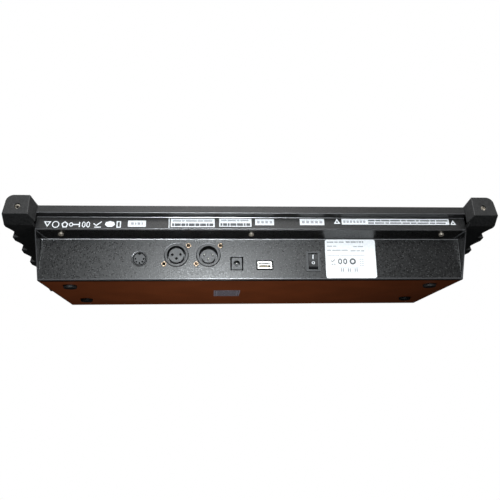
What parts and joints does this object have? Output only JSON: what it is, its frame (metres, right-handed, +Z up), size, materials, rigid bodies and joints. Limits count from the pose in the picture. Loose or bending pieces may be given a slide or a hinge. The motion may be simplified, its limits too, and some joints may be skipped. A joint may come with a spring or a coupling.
{
  "type": "lighting control desk",
  "caption": "Wedge-shaped stage lighting control desk with a sloping fader panel, moulded grip end caps and a recessed rear socket panel.",
  "frame": {"origin": "under the middle of the whole desk, at the level of the feet", "axes": "+X to the operator's right, +Y to the rear where the sockets are, +Z up"},
  "size_m": [0.497, 0.1996, 0.0829],
  "materials": {
    "base_paint": "brown paint, satin",
    "case_paint": "black textured powder coat",
    "panel_paint": "black powder coat, semi-gloss",
    "cap_plastic": "charcoal, finely textured",
    "foot_rubber": "matt",
    "screw_steel": "bright",
    "screw_brass": "bright yellow passivated",
    "socket_metal": "black, satin",
    "black_plastic": "satin",
    "contact_metal": "plated",
    "white_plastic": "satin",
    "switch_plastic": "glossy",
    "label_paper": "coated white label",
    "label_foil": "printed foil label",
    "board_green": "solder mask",
    "ribbon_grey": "satin",
    "fader_steel": "plated",
    "lamp_red": "clear red",
    "window_tint": "tinted",
    "wheel_plastic": "satin",
    "knob_grey": "satin",
    "key_rubber": "satin"
  },
  "bodies": {
    "case": {"base_plate": "base_paint", "chassis": "case_paint", "top_panel": "panel_paint", "left_end_cap": "cap_plastic", "right_end_cap": "cap_plastic", "feet": "foot_rubber", "panel_screws": "screw_steel", "end_cap_screws": "screw_steel", "output_socket_shell": "socket_metal", "output_socket_insert": "black_plastic", "input_socket_shell": "socket_metal", "input_socket_insert": "black_plastic", "input_socket_pins": "contact_metal", "socket_screws": "screw_brass", "midi_socket": "black_plastic", "power_inlet": "black_plastic", "power_inlet_pin": "contact_metal", "lamp_socket_shell": "contact_metal", "lamp_socket_tongue": "white_plastic", "switch_housing": "black_plastic", "rating_label": "label_paper", "base_label": "label_foil", "control_board": "board_green", "connector_board": "board_green", "ribbon_cable": "ribbon_grey", "standoffs": "screw_brass", "board_screws": "screw_steel", "fader_bodies": "fader_steel", "key_switches": "black_plastic", "indicator_lamps": "lamp_red", "display_module": "black_plastic", "display_window": "window_tint", "wheel_brackets": "black_plastic"},
    "channel_fader_1": {"channel_fader_1": "knob_grey"},
    "channel_fader_2": {"channel_fader_2": "knob_grey"},
    "channel_fader_3": {"channel_fader_3": "knob_grey"},
    "channel_fader_4": {"channel_fader_4": "knob_grey"},
    "channel_fader_5": {"channel_fader_5": "knob_grey"},
    "channel_fader_6": {"channel_fader_6": "knob_grey"},
    "channel_fader_7": {"channel_fader_7": "knob_grey"},
    "channel_fader_8": {"channel_fader_8": "knob_grey"},
    "speed_fader": {"speed_fader": "knob_grey"},
    "fade_fader": {"fade_fader": "knob_grey"},
    "scene_button_1": {"scene_button_1": "key_rubber"},
    "scene_button_2": {"scene_button_2": "key_rubber"},
    "scene_button_3": {"scene_button_3": "key_rubber"},
    "scene_button_4": {"scene_button_4": "key_rubber"},
    "scene_button_5": {"scene_button_5": "key_rubber"},
    "scene_button_6": {"scene_button_6": "key_rubber"},
    "scene_button_7": {"scene_button_7": "key_rubber"},
    "scene_button_8": {"scene_button_8": "key_rubber"},
    "program_button": {"program_button": "key_rubber"},
    "music_button": {"music_button": "key_rubber"},
    "auto_button": {"auto_button": "key_rubber"},
    "bank_up_button": {"bank_up_button": "key_rubber"},
    "bank_down_button": {"bank_down_button": "key_rubber"},
    "blackout_button": {"blackout_button": "key_rubber"},
    "pan_wheel": {"pan_wheel": "wheel_plastic"},
    "tilt_wheel": {"tilt_wheel": "wheel_plastic"},
    "power_rocker": {"power_rocker": "switch_plastic"}
  },
  "joints": [
    {"name": "channel_fader_1_slide", "type": "slide", "parent": "case", "child": "channel_fader_1", "axis": [0, 0.9839, 0.1788], "range_m": [0, 0.06]},
    {"name": "channel_fader_2_slide", "type": "slide", "parent": "case", "child": "channel_fader_2", "axis": [0, 0.9839, 0.1788], "range_m": [0, 0.06]},
    {"name": "channel_fader_3_slide", "type": "slide", "parent": "case", "child": "channel_fader_3", "axis": [0, 0.9839, 0.1788], "range_m": [0, 0.06]},
    {"name": "channel_fader_4_slide", "type": "slide", "parent": "case", "child": "channel_fader_4", "axis": [0, 0.9839, 0.1788], "range_m": [0, 0.06]},
    {"name": "channel_fader_5_slide", "type": "slide", "parent": "case", "child": "channel_fader_5", "axis": [0, 0.9839, 0.1788], "range_m": [0, 0.06]},
    {"name": "channel_fader_6_slide", "type": "slide", "parent": "case", "child": "channel_fader_6", "axis": [0, 0.9839, 0.1788], "range_m": [0, 0.06]},
    {"name": "channel_fader_7_slide", "type": "slide", "parent": "case", "child": "channel_fader_7", "axis": [0, 0.9839, 0.1788], "range_m": [0, 0.06]},
    {"name": "channel_fader_8_slide", "type": "slide", "parent": "case", "child": "channel_fader_8", "axis": [0, 0.9839, 0.1788], "range_m": [0, 0.06]},
    {"name": "speed_fader_slide", "type": "slide", "parent": "case", "child": "speed_fader", "axis": [0, 0.9839, 0.1788], "range_m": [0, 0.06]},
    {"name": "fade_fader_slide", "type": "slide", "parent": "case", "child": "fade_fader", "axis": [0, 0.9839, 0.1788], "range_m": [0, 0.06]},
    {"name": "scene_button_1_press", "type": "slide", "parent": "case", "child": "scene_button_1", "axis": [0, 0.1788, -0.9839], "range_m": [0, 0.0012], "stiffness_N_per_m": 400, "springref_m": -0.001},
    {"name": "scene_button_2_press", "type": "slide", "parent": "case", "child": "scene_button_2", "axis": [0, 0.1788, -0.9839], "range_m": [0, 0.0012], "stiffness_N_per_m": 400, "springref_m": -0.001},
    {"name": "scene_button_3_press", "type": "slide", "parent": "case", "child": "scene_button_3", "axis": [0, 0.1788, -0.9839], "range_m": [0, 0.0012], "stiffness_N_per_m": 400, "springref_m": -0.001},
    {"name": "scene_button_4_press", "type": "slide", "parent": "case", "child": "scene_button_4", "axis": [0, 0.1788, -0.9839], "range_m": [0, 0.0012], "stiffness_N_per_m": 400, "springref_m": -0.001},
    {"name": "scene_button_5_press", "type": "slide", "parent": "case", "child": "scene_button_5", "axis": [0, 0.1788, -0.9839], "range_m": [0, 0.0012], "stiffness_N_per_m": 400, "springref_m": -0.001},
    {"name": "scene_button_6_press", "type": "slide", "parent": "case", "child": "scene_button_6", "axis": [0, 0.1788, -0.9839], "range_m": [0, 0.0012], "stiffness_N_per_m": 400, "springref_m": -0.001},
    {"name": "scene_button_7_press", "type": "slide", "parent": "case", "child": "scene_button_7", "axis": [0, 0.1788, -0.9839], "range_m": [0, 0.0012], "stiffness_N_per_m": 400, "springref_m": -0.001},
    {"name": "scene_button_8_press", "type": "slide", "parent": "case", "child": "scene_button_8", "axis": [0, 0.1788, -0.9839], "range_m": [0, 0.0012], "stiffness_N_per_m": 400, "springref_m": -0.001},
    {"name": "program_button_press", "type": "slide", "parent": "case", "child": "program_button", "axis": [0, 0.1788, -0.9839], "range_m": [0, 0.0012], "stiffness_N_per_m": 400, "springref_m": -0.001},
    {"name": "music_button_press", "type": "slide", "parent": "case", "child": "music_button", "axis": [0, 0.1788, -0.9839], "range_m": [0, 0.0012], "stiffness_N_per_m": 400, "springref_m": -0.001},
    {"name": "auto_button_press", "type": "slide", "parent": "case", "child": "auto_button", "axis": [0, 0.1788, -0.9839], "range_m": [0, 0.0012], "stiffness_N_per_m": 400, "springref_m": -0.001},
    {"name": "bank_up_button_press", "type": "slide", "parent": "case", "child": "bank_up_button", "axis": [0, 0.1788, -0.9839], "range_m": [0, 0.0012], "stiffness_N_per_m": 400, "springref_m": -0.001},
    {"name": "bank_down_button_press", "type": "slide", "parent": "case", "child": "bank_down_button", "axis": [0, 0.1788, -0.9839], "range_m": [0, 0.0012], "stiffness_N_per_m": 400, "springref_m": -0.001},
    {"name": "blackout_button_press", "type": "slide", "parent": "case", "child": "blackout_button", "axis": [0, 0.1788, -0.9839], "range_m": [0, 0.0012], "stiffness_N_per_m": 400, "springref_m": -0.001},
    {"name": "pan_wheel_turn", "type": "hinge", "parent": "case", "child": "pan_wheel", "pos_m": [0.154, -0.03485, 0.04217], "axis": [1, 0, 0], "continuous": true},
    {"name": "tilt_wheel_turn", "type": "hinge", "parent": "case", "child": "tilt_wheel", "pos_m": [0.188, -0.03485, 0.04217], "axis": [1, 0, 0], "continuous": true},
    {"name": "power_rocker_tilt", "type": "hinge", "parent": "case", "child": "power_rocker", "pos_m": [-0.0609, 0.06186, 0.0224], "axis": [-1, 0, 0], "range_deg": [0, 20]}
  ]
}
